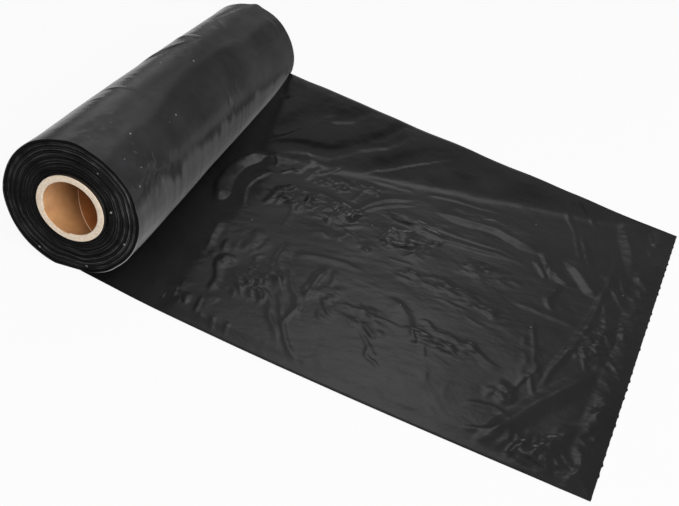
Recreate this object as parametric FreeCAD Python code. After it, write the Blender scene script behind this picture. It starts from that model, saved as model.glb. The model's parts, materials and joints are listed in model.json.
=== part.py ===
import FreeCAD, Part
import math
import os

# A full roll of pet waste bags on a paperboard core, lying on its side with the
# leading bag drawn out flat in front of it.
# Frame: +Y runs along the roll's axis, +Z is up, +X is the way the film is drawn out.
# The origin lies on the surface the roll rests on, straight below the middle of its axis.

V = FreeCAD.Vector

# ---- driving dimensions, mm ----
film_width = 203.0  # width of the bag film, and so of the wound roll
roll_diameter = 65.0  # over the outermost turn
core_bore_diameter = 26.0  # runs on a 25 mm dispenser rod
core_wall = 3.2  # spiral-wound paperboard, several plies
core_stand_out = 0.6  # how far the core reaches past the film at each end
core_edge_break = 0.35  # the cut rim's soft edge
inner_ply_depth = 0.6  # the inmost ply is this thick
inner_ply_set_back = 0.8  # and ends this far inside the cut rim
inner_ply_start = 195.0  # degrees round the bore, from +X through +Z, where the ply ends early
inner_ply_sweep = 70.0  # degrees that the set-back ply end covers
flat_spot_width = 12.0  # soft roll settled on its underside

film_thickness = 0.6  # allowance for two bag walls lying loosely on each other
free_length = 254.0  # drawn-out film, from below the axis to the torn end, along its middle
draw_off_angle = 9.2  # degrees the film was drawn off towards -Y of square
bag_length = 305.0  # from one perforation to the next
seal_set_back = 13.0  # the bag's bottom seal, measured in from the torn end
seal_band_width = 2.4
seal_band_depth = 0.2
tear_pitch = 6.0  # from one perforation bridge to the next
tear_tooth_width = 1.6  # torn bridge left on the edge, and whole bridge between two slits
tear_tooth_length = 0.8
slit_depth = 0.4  # of the perforation still closed, on the outermost turn
slit_height = 0.5

wind_groove_pitch = 2.6  # loose turns show as a spiral gap on each end face
wind_groove_width = 0.5
wind_groove_depth = 0.7
wind_groove_margin = 1.0  # plain film left next to the core and under the outer turn

# ---- worked-out sizes ----
roll_radius = roll_diameter / 2
core_bore_radius = core_bore_diameter / 2
core_radius = core_bore_radius + core_wall
axis_height = math.sqrt(roll_radius**2 - (flat_spot_width / 2) ** 2)
half_width = film_width / 2
core_half_length = half_width + core_stand_out
axis_direction = V(0, 1, 0)


def ring_along_axis(outer_radius, inner_radius, start_y, end_y):
    """A tube round the roll's axis between two places along it."""
    base = V(0, start_y, axis_height)
    length = end_y - start_y
    outer = Part.makeCylinder(outer_radius, length, base, axis_direction)
    inner = Part.makeCylinder(inner_radius, length, base, axis_direction)
    return outer.cut(inner)


def core_profile():
    """Half section of the tube wall, with the soft edges of the cut rim."""
    inner, outer, end, soft = core_bore_radius, core_radius, core_half_length, core_edge_break
    corners = [
        (inner, -end + soft),
        (inner + soft, -end),
        (outer - soft, -end),
        (outer, -end + soft),
        (outer, end - soft),
        (outer - soft, end),
        (inner + soft, end),
        (inner, end - soft),
    ]
    points = [V(radius, y, axis_height) for radius, y in corners]
    return Part.Face(Part.makePolygon(points + points[:1]))


def point_round_axis(radius, degrees, y):
    """A point at an angle round the roll's axis, from +X through +Z."""
    angle = math.radians(degrees)
    return V(radius * math.cos(angle), y, axis_height + radius * math.sin(angle))


def arc_round_axis(radius, start, end, y):
    """An arc round the roll's axis between two angles."""
    middle = (start + end) / 2
    return Part.Arc(
        point_round_axis(radius, start, y),
        point_round_axis(radius, middle, y),
        point_round_axis(radius, end, y),
    ).toShape()


def ply_end_cut():
    """The short arc at the near rim where the inmost ply stops before the cut."""
    start, end = inner_ply_start, inner_ply_start + inner_ply_sweep
    inner_radius = core_bore_radius - inner_ply_depth
    outer_radius = core_bore_radius + inner_ply_depth
    y = -core_half_length - inner_ply_set_back
    edges = [
        arc_round_axis(inner_radius, start, end, y),
        Part.makeLine(
            point_round_axis(inner_radius, end, y), point_round_axis(outer_radius, end, y)
        ),
        arc_round_axis(outer_radius, start, end, y),
        Part.makeLine(
            point_round_axis(inner_radius, start, y), point_round_axis(outer_radius, start, y)
        ),
    ]
    face = Part.Face(Part.Wire(Part.__sortEdges__(edges)))
    return face.extrude(V(0, 2 * inner_ply_set_back, 0))


def make_core_tube():
    tube = core_profile().revolve(V(0, 0, axis_height), axis_direction, 360)
    return tube.cut(ply_end_cut())


def spiral_edge(first_radius, pitch, turns):
    """One edge along a flat spiral that grows by the pitch each turn."""
    steps_a_turn = 24
    count = int(turns * steps_a_turn)
    points = []
    for step in range(count + 1):
        turn = turns * step / count
        angle = 2 * math.pi * turn
        radius = first_radius + pitch * turn
        points.append(V(radius * math.cos(angle), 0, axis_height + radius * math.sin(angle)))
    curve = Part.BSplineCurve()
    curve.interpolate(points)
    return curve.toShape()


def wind_groove():
    """The spiral gap between loose turns, as a thin blade centred on y = 0."""
    first = core_radius + wind_groove_margin
    last = roll_radius - wind_groove_margin - wind_groove_width - wind_groove_pitch
    turns = (last - first) / wind_groove_pitch
    inner = spiral_edge(first, wind_groove_pitch, turns)
    outer = spiral_edge(first + wind_groove_width, wind_groove_pitch, turns)
    start = Part.makeLine(inner.Vertexes[0].Point, outer.Vertexes[0].Point)
    end = Part.makeLine(inner.Vertexes[-1].Point, outer.Vertexes[-1].Point)
    face = Part.Face(Part.Wire(Part.__sortEdges__([inner, end, outer, start])))
    blade = face.extrude(V(0, 2 * wind_groove_depth, 0))
    blade.translate(V(0, -wind_groove_depth, 0))
    return blade


def make_wound_film():
    """All the turns as one body, settled flat underneath and fitting the core."""
    film = ring_along_axis(roll_radius, core_radius, -half_width, half_width)
    below = Part.makeBox(2 * roll_radius, 2 * film_width, roll_radius)
    below.translate(V(-roll_radius, -film_width, -roll_radius))
    film = film.cut(below)
    for end_y in (-half_width, half_width):
        blade = wind_groove()
        blade.translate(V(0, end_y, 0))
        film = film.cut(blade)
    return film


def perforation_places():
    """Places along the film's width of the bridges in a perforation."""
    count = int((film_width - tear_tooth_width) // tear_pitch)
    first = -tear_pitch * (count - 1) / 2
    return [first + index * tear_pitch for index in range(count)]


def cut_slits(film):
    """The next perforation, which lies on the outermost turn up the back of the roll."""
    past_contact = bag_length - free_length
    turned = 90.0 + math.degrees(past_contact / roll_radius)
    slit_length = tear_pitch - tear_tooth_width
    block = Part.makeBox(2 * slit_depth, slit_length, slit_height)
    block.translate(V(roll_radius - slit_depth, 0, axis_height - slit_height / 2))
    block.rotate(V(0, 0, axis_height), axis_direction, turned)
    slits = []
    for place in perforation_places()[:-1]:
        slit = block.copy()
        slit.translate(V(0, place + tear_tooth_width / 2, 0))
        slits.append(slit)
    return film.cut(Part.makeCompound(slits))


def torn_end_points():
    """The torn end seen from above: a tooth where each perforation bridge gave way."""
    base_x = free_length - tear_tooth_length
    points = []
    for y in perforation_places():
        points.append(V(base_x, y - tear_tooth_width / 2, 0))
        points.append(V(free_length, y - tear_tooth_width / 4, 0))
        points.append(V(free_length, y + tear_tooth_width / 4, 0))
        points.append(V(base_x, y + tear_tooth_width / 2, 0))
    return points


def make_drawn_out_film():
    """The leading bag, flat on the surface, with its bottom seal and torn end."""
    base_x = free_length - tear_tooth_length
    angle = math.radians(draw_off_angle)
    leaves_roll = V(-half_width * math.sin(angle), half_width * math.cos(angle), 0)
    outline = [leaves_roll * -1, V(base_x, -half_width, 0)]
    outline += torn_end_points()
    outline += [V(base_x, half_width, 0), leaves_roll]
    sheet = Part.Face(Part.makePolygon(outline + outline[:1])).extrude(V(0, 0, film_thickness))
    seal = Part.makeBox(seal_band_width, 2 * film_width, film_thickness)
    seal_x = free_length - seal_set_back - seal_band_width / 2
    seal.translate(V(seal_x, -film_width, film_thickness - seal_band_depth))
    sheet = sheet.cut(seal)
    sheet.rotate(V(0, 0, 0), V(0, 0, 1), -draw_off_angle)
    return sheet


def make_bag_film():
    wound = cut_slits(make_wound_film())
    return wound.fuse(make_drawn_out_film()).removeSplitter()


os.makedirs("parts", exist_ok=True)
make_core_tube().exportStep("parts/core_tube.step")
make_bag_film().exportStep("parts/bag_film.step")
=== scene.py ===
# %% [markdown]
# # A roll of black pet waste bags
# The real thing is one long tube of thin black polyethylene, pressed flat, sealed and perforated
# at every bag, and wound on a paperboard core. Here it lies on its side and the leading bag has
# been drawn out over the table, a little askew, so that the film is crumpled and full of light.
# This lesson dresses the construction model: the core keeps its own shape and gets a paperboard
# finish, and the film is modelled again as what it is, a soft skin with dents, turns and creases.

import json
import math

import bmesh
import bpy
import numpy as np
from mathutils import Matrix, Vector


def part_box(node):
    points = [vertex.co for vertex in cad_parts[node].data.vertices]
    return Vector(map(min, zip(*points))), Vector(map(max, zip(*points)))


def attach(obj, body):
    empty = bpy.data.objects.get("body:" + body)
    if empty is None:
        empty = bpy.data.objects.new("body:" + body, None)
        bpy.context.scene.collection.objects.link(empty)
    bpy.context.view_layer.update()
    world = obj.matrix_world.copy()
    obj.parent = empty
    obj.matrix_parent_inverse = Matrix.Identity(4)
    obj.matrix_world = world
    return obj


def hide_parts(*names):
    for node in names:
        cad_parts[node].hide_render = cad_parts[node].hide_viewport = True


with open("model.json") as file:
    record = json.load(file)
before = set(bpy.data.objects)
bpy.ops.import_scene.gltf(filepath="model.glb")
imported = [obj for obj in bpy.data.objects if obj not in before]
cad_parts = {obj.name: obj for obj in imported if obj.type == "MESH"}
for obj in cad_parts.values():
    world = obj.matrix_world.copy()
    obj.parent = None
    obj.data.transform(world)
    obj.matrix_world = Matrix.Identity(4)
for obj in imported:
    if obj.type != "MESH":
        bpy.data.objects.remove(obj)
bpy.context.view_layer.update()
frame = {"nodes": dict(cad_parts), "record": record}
nodes = frame["nodes"]
record = frame["record"]

# %% [markdown]
# Every size below is read from the frame, so the soft skin and the rigid core cannot drift apart.
# The bore's mount gives the axis of the roll. The core's box gives the radius the film is wound on.
# The film's box gives the roll's radius on its left side and the film's width at its far end. Only
# the angle of the draw-off is stated here, the same as in the construction model.

# %% Sizes from the frame
MM = 0.001
bore = next(mount for mount in record["mounts"] if mount["name"] == "core_bore")
axis_height = bore["pos_m"][2]
core_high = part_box("core_tube")[1]
film_low, film_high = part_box("bag_film")
core_radius = core_high.x
core_end = core_high.y
half_width = film_high.y
roll_radius = -film_low.x
draw_off_angle = math.radians(9.2)
free_length = (film_high.x - half_width * math.sin(draw_off_angle)) / math.cos(draw_off_angle)
print(f"film {2000 * half_width:.1f} mm wide, roll {2000 * roll_radius:.1f} mm across,")
print(f"core {2000 * core_radius:.1f} mm outside, {1000 * free_length:.1f} mm drawn out")

# %% [markdown]
# ## Camera, floor and light
# The camera stands at the near right, a forearm's length away, and looks down on the roll's near
# end with a slight tilt of the head. It is placed first, because soft light on black film is all
# about what the film mirrors towards the lens.

# %% Camera
camera_place = (0.1792, -0.3765, 0.2467)
camera_turn, camera_down, camera_tilt = (math.radians(a) for a in (12.4, 35.3, 8.25))
camera_data = bpy.data.cameras.new("camera")
camera_data.lens = 46.75
camera_data.sensor_width = 36.0
camera_data.clip_start = 0.01
camera = bpy.data.objects.new("camera", camera_data)
camera.matrix_world = (
    Matrix.Translation(camera_place)
    @ Matrix.Rotation(camera_turn, 4, "Z")
    @ Matrix.Rotation(math.pi / 2 - camera_down, 4, "X")
    @ Matrix.Rotation(camera_tilt, 4, "Z")
)
bpy.context.scene.collection.objects.link(camera)
bpy.context.scene.camera = camera
bpy.context.scene.view_settings.view_transform = "Standard"
print("camera at", camera_place)


# %% [markdown]
# Materials are trees of small nodes. A few helpers keep them readable: they add a node, set its plain
# values, join other nodes to it and hand back its output.

# %% Helpers for materials
def new_material(name):
    """A fresh material, its node tree and its main shader."""
    material = bpy.data.materials.new(name)
    material.use_nodes = True
    tree = material.node_tree
    shader = tree.nodes["Principled BSDF"]
    return material, tree, shader


def add(tree, kind, **settings):
    """Add a node; settings are its own properties."""
    node = tree.nodes.new(kind)
    for name, value in settings.items():
        setattr(node, name, value)
    return node


def feed(tree, value, slot):
    """Give an input its value: another node's output, a number or a colour."""
    if isinstance(value, (int, float)):
        slot.default_value = value
    elif isinstance(value, tuple):
        slot.default_value = (*value, 1.0)
    else:
        tree.links.new(value, slot)


def math_node(tree, operation, first, second=0.0):
    """A math node on one or two inputs, each an output or a number."""
    node = add(tree, "ShaderNodeMath", operation=operation)
    feed(tree, first, node.inputs[0])
    feed(tree, second, node.inputs[1])
    return node.outputs[0]


def mixed(tree, share, under, over, blend_type="MIX"):
    """One colour laid over another."""
    node = add(tree, "ShaderNodeMix", data_type="RGBA", blend_type=blend_type)
    for slot, value in ((0, share), (6, under), (7, over)):
        feed(tree, value, node.inputs[slot])
    return node.outputs[2]


def ramp(tree, source, stops):
    """A colour ramp; stops are (place, grey or colour) pairs."""
    node = add(tree, "ShaderNodeValToRGB")
    tree.links.new(source, node.inputs[0])
    elements = node.color_ramp.elements
    while len(elements) < len(stops):
        elements.new(0.5)
    for element, (place, value) in zip(elements, stops):
        element.position = place
        colour = value if isinstance(value, tuple) else (value, value, value)
        element.color = (*colour, 1.0)
    return node.outputs[0]


def noise(tree, vector, scale, detail=2.0, roughness=0.5, distortion=0.0):
    """A noise texture read at a vector."""
    node = add(tree, "ShaderNodeTexNoise", noise_type="FBM")
    tree.links.new(vector, node.inputs["Vector"])
    node.inputs["Scale"].default_value = scale
    node.inputs["Detail"].default_value = detail
    node.inputs["Roughness"].default_value = roughness
    node.inputs["Distortion"].default_value = distortion
    return node.outputs["Fac"]


def stretched(tree, vector, scale, turn=0.0):
    """The same place in space, stretched by a scale along each axis and then turned."""
    node = add(tree, "ShaderNodeMapping")
    tree.links.new(vector, node.inputs["Vector"])
    node.inputs["Scale"].default_value = scale
    node.inputs["Rotation"].default_value = (0, 0, turn)
    return node.outputs[0]


def bumped(tree, height, distance, below=None):
    """A bump of a true height in metres, on top of another bump if one is given."""
    node = add(tree, "ShaderNodeBump")
    node.inputs["Strength"].default_value = 1.0
    node.inputs["Distance"].default_value = distance
    tree.links.new(height, node.inputs["Height"])
    if below is not None:
        tree.links.new(below, node.inputs["Normal"])
    return node.outputs[0]


def attribute(tree, name):
    """A number that each vertex of the piece carries."""
    return add(tree, "ShaderNodeAttribute", attribute_name=name).outputs["Fac"]


def gap_to(tree, vector, place):
    """How far a vector is from one fixed place."""
    node = add(tree, "ShaderNodeVectorMath", operation="DISTANCE")
    tree.links.new(vector, node.inputs[0])
    node.inputs[1].default_value = place
    return node.outputs["Value"]


def dust_at(tree, vector, specks):
    """1 on any of the specks, 0 elsewhere; each speck is its centre and half size in metres."""
    dust = 0.0
    for centre, half_size in specks:
        spot = math_node(tree, "LESS_THAN", gap_to(tree, vector, centre), half_size)
        dust = math_node(tree, "MAXIMUM", spot, dust)
    return dust


# %% [markdown]
# The table is a plain white sheet. It is lit like any white card and keeps the object's shadow. To
# the camera and to mirrors it is almost all shine of its own, so that it reads as clean white.

# %% Floor
WHITENESS = 0.92
bpy.ops.mesh.primitive_plane_add(size=40.0, location=(0, 0, -0.0006))
floor = bpy.context.object
floor.name = "floor"
floor_material, tree, shader = new_material("white_floor")
shader.inputs["Base Color"].default_value = (0.82, 0.82, 0.82, 1)
shader.inputs["Roughness"].default_value = 0.9
shine = add(tree, "ShaderNodeEmission")
shine.inputs["Color"].default_value = (1, 1, 1, 1)
rays = add(tree, "ShaderNodeLightPath").outputs
seen = math_node(tree, "MAXIMUM", rays["Is Camera Ray"], rays["Is Glossy Ray"])
seen = math_node(tree, "MAXIMUM", seen, rays["Is Transmission Ray"])
share = math_node(tree, "MULTIPLY", seen, WHITENESS)
mix = add(tree, "ShaderNodeMixShader")
tree.links.new(share, mix.inputs[0])
tree.links.new(shader.outputs[0], mix.inputs[1])
tree.links.new(shine.outputs[0], mix.inputs[2])
tree.links.new(mix.outputs[0], tree.nodes["Material Output"].inputs["Surface"])
floor.data.materials.append(floor_material)
print("floor ready")

# %% [markdown]
# Black film shows no colour of its own: what we see is the room in it. So the room is dim grey, a
# little brighter higher up and dark overhead, with two soft patches of light behind. The flat of the
# drawn-out bag mirrors the high one, and its tilted folds the rest of the room. Three soft lamps do
# the lighting: one low at the right for the roll's lower side, one low and far behind, and a broad
# one at the front right that lights the core and picks out every crease.

# %% World
world = bpy.data.worlds.new("room")
world.use_nodes = True
bpy.context.scene.world = world
tree = world.node_tree
direction = add(tree, "ShaderNodeTexCoord").outputs["Generated"]
heights = add(tree, "ShaderNodeSeparateXYZ")
tree.links.new(direction, heights.inputs[0])
ROOM_STOPS = [(0.02, 0.14), (0.20, 0.15), (0.45, 0.22), (0.65, 0.23), (0.92, 0.36), (0.985, 0.05)]
PATCH_REACH = 40  # degrees from a patch's middle to the end of its stops

# Each patch: degrees round from straight behind, degrees up, and its stops.
BACK_PATCH = (-8.5, 45.5, [(0, 0.98), (4, 0.92), (8, 0.50), (12, 0.14), (16, 0.03), (20, 0.0)])
LEFT_PATCH = (-35, 20, [(0, 1.2), (5, 1.0), (9, 0.55), (13, 0.15), (18, 0.0)])


def soft_patch(tree, direction, turn, rise, stops):
    """A soft patch of light in the room; stops are (degrees from its middle, brightness)."""
    turn, rise = math.radians(turn), math.radians(rise)
    towards = add(tree, "ShaderNodeVectorMath", operation="DOT_PRODUCT")
    tree.links.new(direction, towards.inputs[0])
    towards.inputs[1].default_value = (
        math.sin(turn) * math.cos(rise),
        math.cos(turn) * math.cos(rise),
        math.sin(rise),
    )
    angle = math_node(tree, "ARCCOSINE", towards.outputs["Value"])
    share = math_node(tree, "DIVIDE", angle, math.radians(PATCH_REACH))
    return ramp(tree, share, [(degrees / PATCH_REACH, brightness) for degrees, brightness in stops])


light = ramp(tree, heights.outputs[2], ROOM_STOPS)
for patch in (BACK_PATCH, LEFT_PATCH):
    light = math_node(tree, "ADD", light, soft_patch(tree, direction, *patch))
tree.links.new(light, tree.nodes["Background"].inputs["Color"])
print("world nodes", len(tree.nodes))


# %% Lamps
def soft_lamp(name, place, aim, width, height, brightness):
    """A soft box; brightness is how bright its face looks, where 1 is white."""
    lamp = bpy.data.lights.new(name, "AREA")
    lamp.shape = "RECTANGLE"
    lamp.size, lamp.size_y = width, height
    lamp.energy = brightness * math.pi * width * height
    lamp_object = bpy.data.objects.new(name, lamp)
    bpy.context.scene.collection.objects.link(lamp_object)
    direction = Matrix.Translation(aim).translation - Matrix.Translation(place).translation
    lamp_object.rotation_euler = direction.to_track_quat("-Z", "Y").to_euler()
    lamp_object.location = place


soft_lamp("right_lamp", (1.3, 0.45, 0.3), (0.0, 0.0, 0.03), 1.0, 0.55, 1.0)
soft_lamp("low_lamp", (0.05, 2.40, 0.50), (0.1, 0.0, 0.0), 0.70, 0.32, 1.0)
soft_lamp("front_lamp", (0.95, -0.95, 0.95), (0.05, 0.0, 0.0), 1.2, 1.0, 6.0)


# %% [markdown]
# ## Black film
# Polyethylene film is black all through, with a satin gloss that changes from place to place where
# it has been handled. The finest crinkles are too small to model, so they are bump, laid on the
# film's own coordinates (metres along it and across it). The same coordinates carry the thin lines
# of the perforation and the seal, and a few specks of pale dust.

# %% Film relief and marks
# Each kind of facet in crushed film: size and height in metres.
CRUSH_FACETS = ((0.0060, 0.00060), (0.0028, 0.00020))
DASH_SHARE = 0.7


def film_relief(tree, uv, crinkle, grain, facets):
    """Fine crinkles, and small facets where the attribute named facets says the film is crushed."""
    along = stretched(tree, uv, grain)
    crumple = bumped(tree, noise(tree, along, 1.0, 4.0, 0.6, 1.2), crinkle)
    relief = bumped(tree, noise(tree, along, 0.35, 2.0, 0.5, 0.8), 2.2 * crinkle, crumple)
    if facets:
        share = attribute(tree, facets)
        for size, height in CRUSH_FACETS:
            turned = stretched(tree, uv, (0.62 / size, 1 / size, 1), 0.5 + 100 * size)
            cells = add(tree, "ShaderNodeTexVoronoi", feature="F1")
            tree.links.new(turned, cells.inputs["Vector"])
            cells.inputs["Scale"].default_value = 1.0
            facet = math_node(tree, "MULTIPLY", cells.outputs["Distance"], share)
            relief = bumped(tree, facet, height, relief)
    return relief


def film_marks(tree, uv, colour, marks):
    """Lines across the film; each: mm along it, half width mm, dash pitch mm or 0, grey."""
    film_place = add(tree, "ShaderNodeSeparateXYZ")
    tree.links.new(uv, film_place.inputs[0])
    for mark_run, half_mark, pitch, grey in marks:
        gap = math_node(tree, "SUBTRACT", film_place.outputs[0], mark_run * MM)
        marked = math_node(tree, "LESS_THAN", math_node(tree, "ABSOLUTE", gap), half_mark * MM)
        if pitch:
            beat = math_node(tree, "DIVIDE", film_place.outputs[1], pitch * MM)
            beat = math_node(tree, "LESS_THAN", math_node(tree, "FRACT", beat), DASH_SHARE)
            marked = math_node(tree, "MULTIPLY", marked, beat)
        colour = mixed(tree, marked, colour, (grey, grey, grey))
    return colour


# %% Film finish
# The pale grey mixed in for the skin's painted light.
PAINTED_LIGHT_GREY = (0.36, 0.36, 0.36)
FILM_DUST = (0.24, 0.235, 0.23)
DULLING = 0.35


def film_material(
    name,
    crinkle,
    grain,
    sheen,
    gloss,
    satin,
    tones,
    flecks,
    painted_light=None,
    dull=None,
    facets=None,
    marks=(),
):
    """Black film; crinkle is the height of its finest bumps in metres.

    satin is the roughness from smoothest to dullest, flecks are specks of dust (mm along the film,
    mm across it, half size mm). The next three name attributes: how much painted light the film
    carries (a pale painted reflection and highlight), how much rougher it is, and how crushed.
    marks are lines across it.
    """
    material, tree, shader = new_material(name)
    uv = add(tree, "ShaderNodeUVMap", uv_map="film_run").outputs[0]
    place = add(tree, "ShaderNodeTexCoord").outputs["Object"]
    tone = noise(tree, place, 26.0, 3.0, 0.55)
    colour = ramp(tree, tone, [(0.3, tones[0]), (0.7, tones[1])])
    handled = noise(tree, place, 45.0, 3.0, 0.6, 0.4)
    roughness = ramp(tree, handled, [(0.3, satin[0]), (0.7, satin[1])])
    if dull:
        rougher = math_node(tree, "MULTIPLY", attribute(tree, dull), DULLING)
        roughness = math_node(tree, "ADD", roughness, rougher)
    # Painted light: where that attribute says, the colour goes towards a pale grey, a painted reflection
    # and highlight.
    if painted_light:
        colour = mixed(tree, attribute(tree, painted_light), colour, PAINTED_LIGHT_GREY)
    if marks:
        colour = film_marks(tree, uv, colour, marks)
    specks = [((run * MM, across * MM, 0), half_size * MM) for run, across, half_size in flecks]
    colour = mixed(tree, dust_at(tree, uv, specks), colour, FILM_DUST)
    tree.links.new(colour, shader.inputs["Base Color"])
    tree.links.new(roughness, shader.inputs["Roughness"])
    tree.links.new(film_relief(tree, uv, crinkle, grain, facets), shader.inputs["Normal"])
    shader.inputs["IOR"].default_value = 1.5
    shader.inputs["Specular IOR Level"].default_value = gloss
    shader.inputs["Sheen Weight"].default_value = sheen
    shader.inputs["Sheen Roughness"].default_value = 0.25
    return material


# %% [markdown]
# Soft shapes need soft numbers. These helpers make repeatable, smooth randomness for vertex moves:
# a value at every crossing of a grid, blended in between, so each run gives the same film.

# %% Repeatable soft noise
def crossing_value(column, row, seed):
    """A fixed value from -1 to 1 for each crossing of an endless grid."""
    scrambled = column.astype(np.int64) * 374761393 + row.astype(np.int64) * 668265263
    scrambled = (scrambled + seed * 1274126177) & 0xFFFFFFFF
    scrambled = ((scrambled ^ (scrambled >> 13)) * 1103515245) & 0xFFFFFFFF
    return ((scrambled ^ (scrambled >> 16)) & 0xFFFF) / 32767.5 - 1.0


def soft_noise(x, y, seed):
    """Smooth noise from -1 to 1 with features about one unit across."""
    column, row = np.floor(x), np.floor(y)
    fx, fy = x - column, y - row
    fx = fx * fx * fx * (fx * (fx * 6 - 15) + 10)
    fy = fy * fy * fy * (fy * (fy * 6 - 15) + 10)
    low = crossing_value(column, row, seed) * (1 - fx) + crossing_value(column + 1, row, seed) * fx
    high = (
        crossing_value(column, row + 1, seed) * (1 - fx)
        + crossing_value(column + 1, row + 1, seed) * fx
    )
    return low * (1 - fy) + high * fy


def layered_noise(x, y, seed, layers=3):
    """Soft noise with finer and weaker layers on top."""
    total = np.zeros_like(x)
    for layer in range(layers):
        total = total + soft_noise(x * 2**layer, y * 2**layer, seed + layer) / 2**layer
    return total / 1.6


def smooth_step(low, high, value):
    """0 below low, 1 above high, an even S between."""
    share = np.clip((value - low) / (high - low), 0.0, 1.0)
    return share * share * (3 - 2 * share)


# %% [markdown]
# ## The wound film
# The turns are wound tight enough to act as one soft body. The start is an open cylinder on the
# roll's axis. Its ends are extruded inwards to the core, and both are cut into rings: those rings
# become the edges of the turns. Last, the bore is closed against the core by a bridge.

# %% A cylinder with open ends
ANGLES = 288
TINY = 1e-5


def select_edges(piece, wanted):
    """In edit mode, select the edges whose place passes a test."""
    bpy.ops.mesh.select_mode(type="EDGE")
    bpy.ops.mesh.select_all(action="DESELECT")
    mesh = bmesh.from_edit_mesh(piece.data)
    for edge in mesh.edges:
        edge.select_set(wanted(edge))
    mesh.select_flush_mode()
    bmesh.update_edit_mesh(piece.data)


def distance_from_axis(vertex):
    """How far a vertex lies from the roll's axis."""
    return math.hypot(vertex.co.x, vertex.co.z - axis_height)


def on_open_end(end_y):
    """A test for the edges round one open end."""
    return lambda edge: all(abs(vertex.co.y - end_y) < TINY for vertex in edge.verts)


bpy.ops.object.select_all(action="DESELECT")
bpy.ops.mesh.primitive_cylinder_add(
    vertices=ANGLES,
    radius=roll_radius,
    depth=2 * half_width,
    end_fill_type="NOTHING",
    rotation=(math.pi / 2, 0, 0),
    location=(0, 0, axis_height),
)
wound_bags = bpy.context.object
wound_bags.name = "wound_bags"
wound_bags.data.name = "wound_bags"
bpy.ops.object.transform_apply(location=True, rotation=True, scale=True)
bpy.ops.object.mode_set(mode="EDIT")
shrink = core_radius / roll_radius
for end_y in (-half_width, half_width):
    select_edges(wound_bags, on_open_end(end_y))
    bpy.ops.mesh.extrude_edges_move()
    bpy.ops.transform.resize(value=(shrink, 1, shrink), center_override=(0, end_y, axis_height))
print("open cylinder with turned-in ends:", len(bmesh.from_edit_mesh(wound_bags.data).faces))

# %% Rows along the side, rings on the ends
SIDE_CUTS = (11, 19)
NEAR_RING_CUTS = (11, 3)
FAR_RING_CUTS = (11, 1)


def runs_along(edge):
    """True for an edge that runs along the roll's axis on the outside."""
    start, end = edge.verts
    return abs(start.co.y - end.co.y) > TINY and distance_from_axis(start) > core_radius + TINY


def on_core(edge):
    """True for an edge that lies where the film meets the core."""
    return all(distance_from_axis(vertex) < core_radius + TINY for vertex in edge.verts)


def crosses_ring(end_y):
    """A test for the edges of one end that point to the axis."""

    def test(edge):
        start, end = edge.verts
        on_end = abs(start.co.y - end_y) < TINY and abs(end.co.y - end_y) < TINY
        return on_end and abs(distance_from_axis(start) - distance_from_axis(end)) > TINY * 10

    return test


for cuts in SIDE_CUTS:
    select_edges(wound_bags, runs_along)
    bpy.ops.mesh.subdivide(number_cuts=cuts)
for end_y, end_cuts in ((-half_width, NEAR_RING_CUTS), (half_width, FAR_RING_CUTS)):
    for cuts in end_cuts:
        select_edges(wound_bags, crosses_ring(end_y))
        bpy.ops.mesh.subdivide(number_cuts=cuts)
select_edges(wound_bags, on_core)
bpy.ops.mesh.bridge_edge_loops()
bpy.ops.mesh.select_all(action="SELECT")
bpy.ops.mesh.normals_make_consistent(inside=False)
bpy.ops.object.mode_set(mode="OBJECT")
print("wound film faces:", len(wound_bags.data.polygons))

# %% [markdown]
# Now the body is made soft. Each vertex is named by its angle round the axis, its place along it
# and its depth in the winding (0 at the core, 1 on the outside). The skin leans in towards the far
# end, where the film was wound looser, and sits flat on the table. Then come the hoop-wise
# streaks that tension leaves, slow dents, and slanting creases along the back shoulder.

# %% Swellings and creases of the skin
# Each: degrees round the axis, mm along it, half width in degrees, half length mm, height mm.
SWELLINGS = [
    (-125, -101, 28, 60, 0.8),
    (150, -101, 25, 50, -0.7),
    (118, 45, 20, 60, 0.6),
    (58, 101, 22, 30, 0.7),
    (84, 101, 5, 9, 0.9),
]

# Each: degrees round the axis, mm along it, half width mm, half length mm, slant in radians and
# height mm. A slant of 0 runs round the roll.
CREASES = [
    (106, -42.3, 1.3, 10, 0.0, 0.32),
    (105, -29, 1.0, 5, 0.1, 0.18),
    (111, -56, 1.2, 6, -0.3, 0.16),
    (114, 14, 2.4, 15, -1.1, 0.70),
    (104, 20, 2.0, 12, -1.2, -0.35),
    (107, 35.5, 2.4, 10, 0.15, 0.60),
    (83, 33, 1.2, 10, -0.4, 0.26),
    (67, 42, 1.4, 7, -0.8, -0.20),
    (88, 53, 2.0, 8, 0.5, 0.28),
    (96, 62, 1.6, 9, 0.8, -0.22),
    (101, 86, 3.2, 15, -1.3, -0.40),
    (96, 88, 2.4, 13, -1.3, 0.25),
    (78, -46, 1.1, 6, 1.4, 0.16),
    (70, -76, 1.5, 5, 0.6, -0.28),
    (75, -73, 1.2, 5, 0.4, 0.22),
    (27, -66, 1.6, 6, 0.5, 0.22),
    (22, -58, 1.4, 5, 0.2, -0.16),
    (33, -91, 3.0, 4, 1.0, 0.42),
    (40, -87, 2.0, 4, 0.9, -0.34),
    (55, -92, 1.6, 4, 0.7, 0.24),
    (46, -50, 1.6, 3, 1.2, -0.18),
    (64, -44, 1.8, 3, 0.2, 0.16),
    (21, 3, 1.2, 5, 0.3, 0.18),
    (18, 8, 1.2, 4, 0.3, -0.16),
    (20, 53, 1.4, 4, 0.2, 0.14),
    (53, 18, 2.0, 3, 0.8, -0.14),
    (43, 70, 2.0, 4, 0.9, -0.14),
    (95, 4, 1.3, 3, 0.4, 0.18),
    (88, 12, 1.4, 4, 0.8, -0.18),
]
print("swellings", len(SWELLINGS), "creases", len(CREASES))

# %% Outline and dents of the winding
far_radius = 0.9 * roll_radius
settle = roll_radius - axis_height


def roll_outline(along):
    """Radius and centre height of the outer turn; along runs from -1 to 1."""
    radius = roll_radius + (far_radius - roll_radius) * (along + 1) / 2
    return radius, radius - settle


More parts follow.
